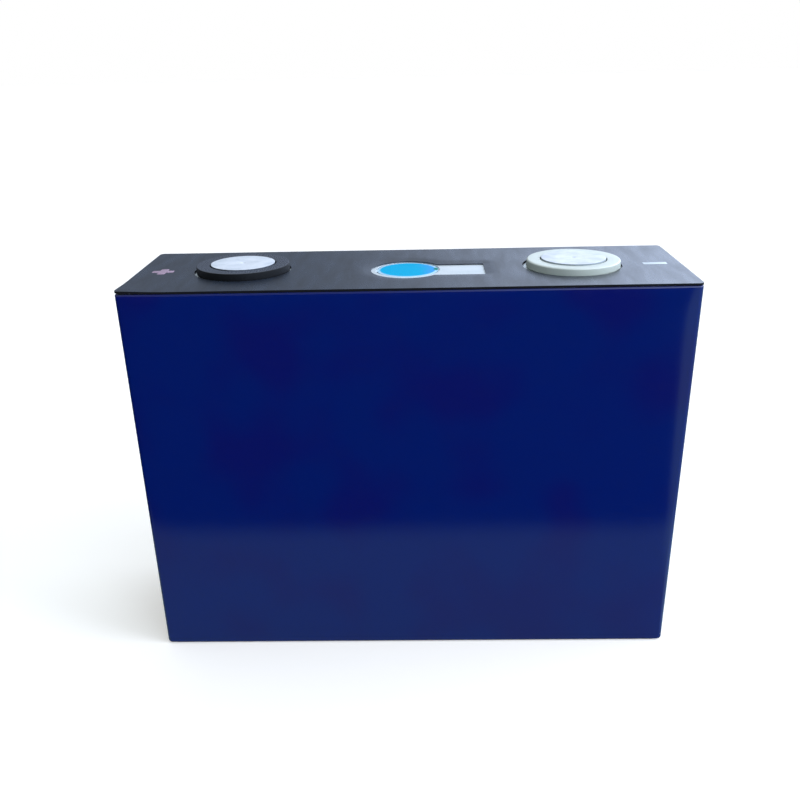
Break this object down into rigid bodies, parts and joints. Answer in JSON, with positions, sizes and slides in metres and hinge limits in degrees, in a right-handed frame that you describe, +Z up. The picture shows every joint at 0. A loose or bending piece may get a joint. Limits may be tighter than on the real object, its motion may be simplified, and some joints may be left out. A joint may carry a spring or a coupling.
{
  "type": "prismatic battery cell",
  "caption": "Flat prismatic lithium iron phosphate cell: blue-wrapped aluminium can, black top sheet, round positive and negative terminal pads in insulating rings, burst vent between them.",
  "frame": {"origin": "middle of the base, on the surface that the cell stands on", "axes": "+X along the wide side towards the negative terminal, +Y through the thickness from the front face to the back face, +Z up to the terminals"},
  "size_m": [0.16, 0.05, 0.1185],
  "materials": {
    "blue_film": "gloss",
    "black_sheet": "satin",
    "vent_film": "gloss",
    "can_aluminium": "satin",
    "lid_aluminium": "satin",
    "pad_aluminium": "brushed",
    "copper": "satin",
    "black_plastic": "satin",
    "white_plastic": "satin",
    "seal_rubber": "matte",
    "natural_plastic": "satin",
    "separator": "matte",
    "green_tape": "gloss"
  },
  "bodies": {
    "cell": {"bottom_plate": "natural_plastic", "can": "can_aluminium", "fill_cap": "lid_aluminium", "fill_plug": "seal_rubber", "film_wrap": "blue_film", "insulating_pouch": "natural_plastic", "jelly_roll_back": "separator", "jelly_roll_front": "separator", "lid_plate": "lid_aluminium", "lower_insulator_negative": "natural_plastic", "lower_insulator_positive": "natural_plastic", "negative_collector": "copper", "negative_pad": "pad_aluminium", "negative_post": "copper", "negative_ring": "white_plastic", "negative_seal": "seal_rubber", "negative_tab_back": "copper", "negative_tab_front": "copper", "positive_collector": "lid_aluminium", "positive_pad": "pad_aluminium", "positive_post": "lid_aluminium", "positive_ring": "black_plastic", "positive_seal": "seal_rubber", "positive_tab_back": "lid_aluminium", "positive_tab_front": "lid_aluminium", "roll_tape_back": "green_tape", "roll_tape_front": "green_tape", "top_sheet": "black_sheet", "vent_guard": "natural_plastic", "vent_rim": "lid_aluminium"},
    "left_petal": {"vent_petal_left": "lid_aluminium"},
    "right_petal": {"vent_petal_right": "lid_aluminium"},
    "peeling_film": {"vent_film": "vent_film"}
  },
  "joints": [
    {"name": "left_petal_fold", "type": "hinge", "parent": "cell", "child": "left_petal", "pos_m": [-0.0059, 0, 0.11475], "axis": [0, -1, 0], "range_deg": [0, 85]},
    {"name": "right_petal_fold", "type": "hinge", "parent": "cell", "child": "right_petal", "pos_m": [0.0059, 0, 0.11475], "axis": [0, 1, 0], "range_deg": [0, 85]},
    {"name": "film_peel", "type": "hinge", "parent": "cell", "child": "peeling_film", "pos_m": [-0.009, 0, 0.11555], "axis": [0, -1, 0], "range_deg": [0, 85]}
  ],
  "couplings": [
    {"joint": "right_petal_fold", "follows": "left_petal_fold", "ratio": 1},
    {"joint": "film_peel", "follows": "left_petal_fold", "ratio": 1}
  ]
}
